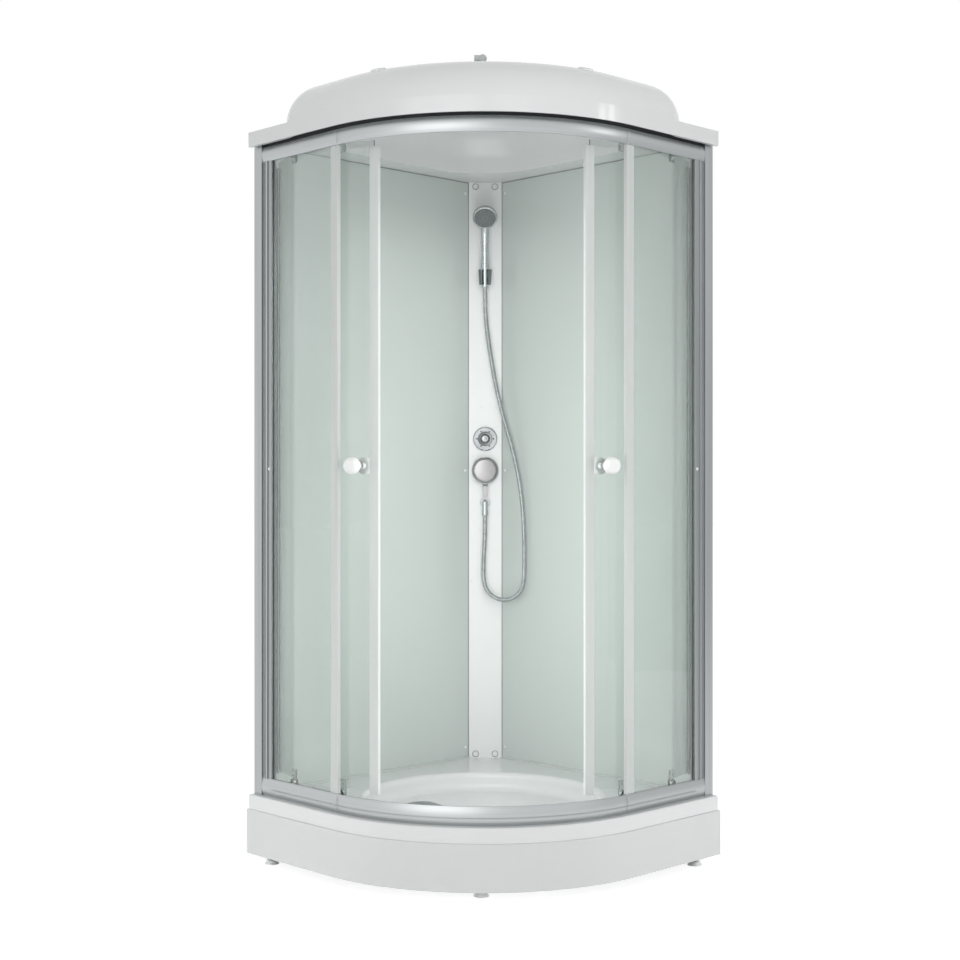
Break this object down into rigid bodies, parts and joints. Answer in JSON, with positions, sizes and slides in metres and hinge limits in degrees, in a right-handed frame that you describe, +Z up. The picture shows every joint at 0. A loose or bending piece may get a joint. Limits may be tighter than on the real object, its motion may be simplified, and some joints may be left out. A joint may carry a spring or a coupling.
{
  "type": "shower cabin",
  "caption": "Quadrant shower cabin with tray, domed roof, curved sliding doors, fixed glass, corner column, mixer, diverter, hose and handset.",
  "frame": {"origin": "middle of the bounding box in plan, at the floor", "axes": "+Z up, -Y out through the doors, +Y towards the room corner, +X to the right seen from the front"},
  "size_m": [1.2728, 1.045, 2.146],
  "materials": {
    "white_acrylic": "gloss",
    "white_plastic": "satin",
    "white_seal": "satin",
    "satin_aluminium": "satin",
    "clear_glass": "clear",
    "clear_plastic": "clear",
    "painted_glass": "gloss",
    "chrome": "polished",
    "grey_plastic": "satin",
    "black_strip": "matt",
    "zinc_steel": "satin",
    "grey_painted_steel": "satin",
    "raw_brass": "satin"
  },
  "bodies": {
    "cabin": {"tray_shell": "white_acrylic", "front_apron": "white_acrylic", "tray_frame": "grey_painted_steel", "foot_pads": "grey_plastic", "foot_studs": "zinc_steel", "foot_nuts": "zinc_steel", "drain_flange": "chrome", "drain_gasket": "black_strip", "drain_body": "white_plastic", "corner_column": "white_plastic", "column_screw_caps": "white_plastic", "small_screw_caps": "white_plastic", "bottom_rail": "satin_aluminium", "top_rail": "satin_aluminium", "left_back_panel": "painted_glass", "right_back_panel": "painted_glass", "left_wall_post": "satin_aluminium", "right_wall_post": "satin_aluminium", "left_glass_channel": "satin_aluminium", "right_glass_channel": "satin_aluminium", "left_fixed_glass": "clear_glass", "right_fixed_glass": "clear_glass", "left_fixed_seal": "white_seal", "right_fixed_seal": "white_seal", "roof_shell": "white_acrylic", "roof_strip": "black_strip", "roof_elbow": "grey_plastic", "overhead_rose": "chrome", "valve_body": "raw_brass", "mixer_rosette": "chrome", "diverter_rosette": "chrome", "hose_outlet": "chrome", "lower_hose_nut": "chrome", "handset_holder": "chrome", "shower_hose": "chrome"},
    "left_door": {"left_door_glass": "clear_glass", "left_leading_seal": "white_seal", "left_trailing_seal": "white_seal", "left_door_knobs": "white_plastic", "left_door_hangers": "clear_plastic"},
    "left_bottom_lead_roller": {"left_bottom_lead_roller": "grey_plastic"},
    "left_bottom_trail_roller": {"left_bottom_trail_roller": "grey_plastic"},
    "left_top_lead_roller": {"left_top_lead_roller": "grey_plastic"},
    "left_top_trail_roller": {"left_top_trail_roller": "grey_plastic"},
    "right_door": {"right_door_glass": "clear_glass", "right_leading_seal": "white_seal", "right_trailing_seal": "white_seal", "right_door_knobs": "white_plastic", "right_door_hangers": "clear_plastic"},
    "right_bottom_lead_roller": {"right_bottom_lead_roller": "grey_plastic"},
    "right_bottom_trail_roller": {"right_bottom_trail_roller": "grey_plastic"},
    "right_top_lead_roller": {"right_top_lead_roller": "grey_plastic"},
    "right_top_trail_roller": {"right_top_trail_roller": "grey_plastic"},
    "mixer_stem": {"mixer_stem": "chrome"},
    "mixer_handle": {"mixer_handle": "chrome"},
    "diverter_knob": {"diverter_knob": "chrome"},
    "handset": {"handset_body": "chrome", "handset_face": "grey_plastic", "upper_hose_nut": "chrome"},
    "drain_cap": {"drain_cap": "grey_plastic"}
  },
  "joints": [
    {"name": "left_door_travel", "type": "hinge", "parent": "cabin", "child": "left_door", "pos_m": [0.16714, 0.31656, 1.05], "axis": [0, 0, 1], "range_deg": [0, 20.17]},
    {"name": "left_bottom_lead_roller_spin", "type": "hinge", "parent": "left_door", "child": "left_bottom_lead_roller", "pos_m": [-0.36177, -0.30903, 0.2223], "axis": [-0.5516, -0.8341, 0], "continuous": true},
    {"name": "left_bottom_trail_roller_spin", "type": "hinge", "parent": "left_door", "child": "left_bottom_trail_roller", "pos_m": [-0.5013, -0.1695, 0.2223], "axis": [-0.8341, -0.5516, 0], "continuous": true},
    {"name": "left_top_lead_roller_spin", "type": "hinge", "parent": "left_door", "child": "left_top_lead_roller", "pos_m": [-0.36177, -0.30903, 1.9037], "axis": [-0.5516, -0.8341, 0], "continuous": true},
    {"name": "left_top_trail_roller_spin", "type": "hinge", "parent": "left_door", "child": "left_top_trail_roller", "pos_m": [-0.5013, -0.1695, 1.9037], "axis": [-0.8341, -0.5516, 0], "continuous": true},
    {"name": "right_door_travel", "type": "hinge", "parent": "cabin", "child": "right_door", "pos_m": [-0.16714, 0.31656, 1.05], "axis": [0, 0, -1], "range_deg": [0, 20.17]},
    {"name": "right_bottom_lead_roller_spin", "type": "hinge", "parent": "right_door", "child": "right_bottom_lead_roller", "pos_m": [0.36177, -0.30903, 0.2223], "axis": [0.5516, -0.8341, 0], "continuous": true},
    {"name": "right_bottom_trail_roller_spin", "type": "hinge", "parent": "right_door", "child": "right_bottom_trail_roller", "pos_m": [0.5013, -0.1695, 0.2223], "axis": [0.8341, -0.5516, 0], "continuous": true},
    {"name": "right_top_lead_roller_spin", "type": "hinge", "parent": "right_door", "child": "right_top_lead_roller", "pos_m": [0.36177, -0.30903, 1.9037], "axis": [0.5516, -0.8341, 0], "continuous": true},
    {"name": "right_top_trail_roller_spin", "type": "hinge", "parent": "right_door", "child": "right_top_trail_roller", "pos_m": [0.5013, -0.1695, 1.9037], "axis": [0.8341, -0.5516, 0], "continuous": true},
    {"name": "mixer_temperature", "type": "hinge", "parent": "cabin", "child": "mixer_stem", "pos_m": [0, 0.45704, 1.055], "axis": [0, -1, 0], "range_deg": [-45, 45]},
    {"name": "mixer_flow", "type": "hinge", "parent": "mixer_stem", "child": "mixer_handle", "pos_m": [0, 0.44105, 1.055], "axis": [-1, 0, 0], "range_deg": [0, 15]},
    {"name": "diverter_turn", "type": "hinge", "parent": "cabin", "child": "diverter_knob", "pos_m": [0, 0.45704, 1.151], "axis": [0, -1, 0], "range_deg": [0, 120]},
    {"name": "handset_lift", "type": "slide", "parent": "cabin", "child": "handset", "axis": [0, -0.0872, 0.9962], "range_m": [0, 0.06]},
    {"name": "drain_cap_lift", "type": "slide", "parent": "cabin", "child": "drain_cap", "axis": [0, 0, 1], "range_m": [0, 0.04]}
  ],
  "couplings": [
    {"joint": "left_bottom_lead_roller_spin", "follows": "left_door_travel", "ratio": -73.96},
    {"joint": "left_bottom_trail_roller_spin", "follows": "left_door_travel", "ratio": -75.06},
    {"joint": "left_top_lead_roller_spin", "follows": "left_door_travel", "ratio": 90.395},
    {"joint": "left_top_trail_roller_spin", "follows": "left_door_travel", "ratio": 91.741},
    {"joint": "right_bottom_lead_roller_spin", "follows": "right_door_travel", "ratio": 73.96},
    {"joint": "right_bottom_trail_roller_spin", "follows": "right_door_travel", "ratio": 75.06},
    {"joint": "right_top_lead_roller_spin", "follows": "right_door_travel", "ratio": -90.395},
    {"joint": "right_top_trail_roller_spin", "follows": "right_door_travel", "ratio": -91.741}
  ]
}
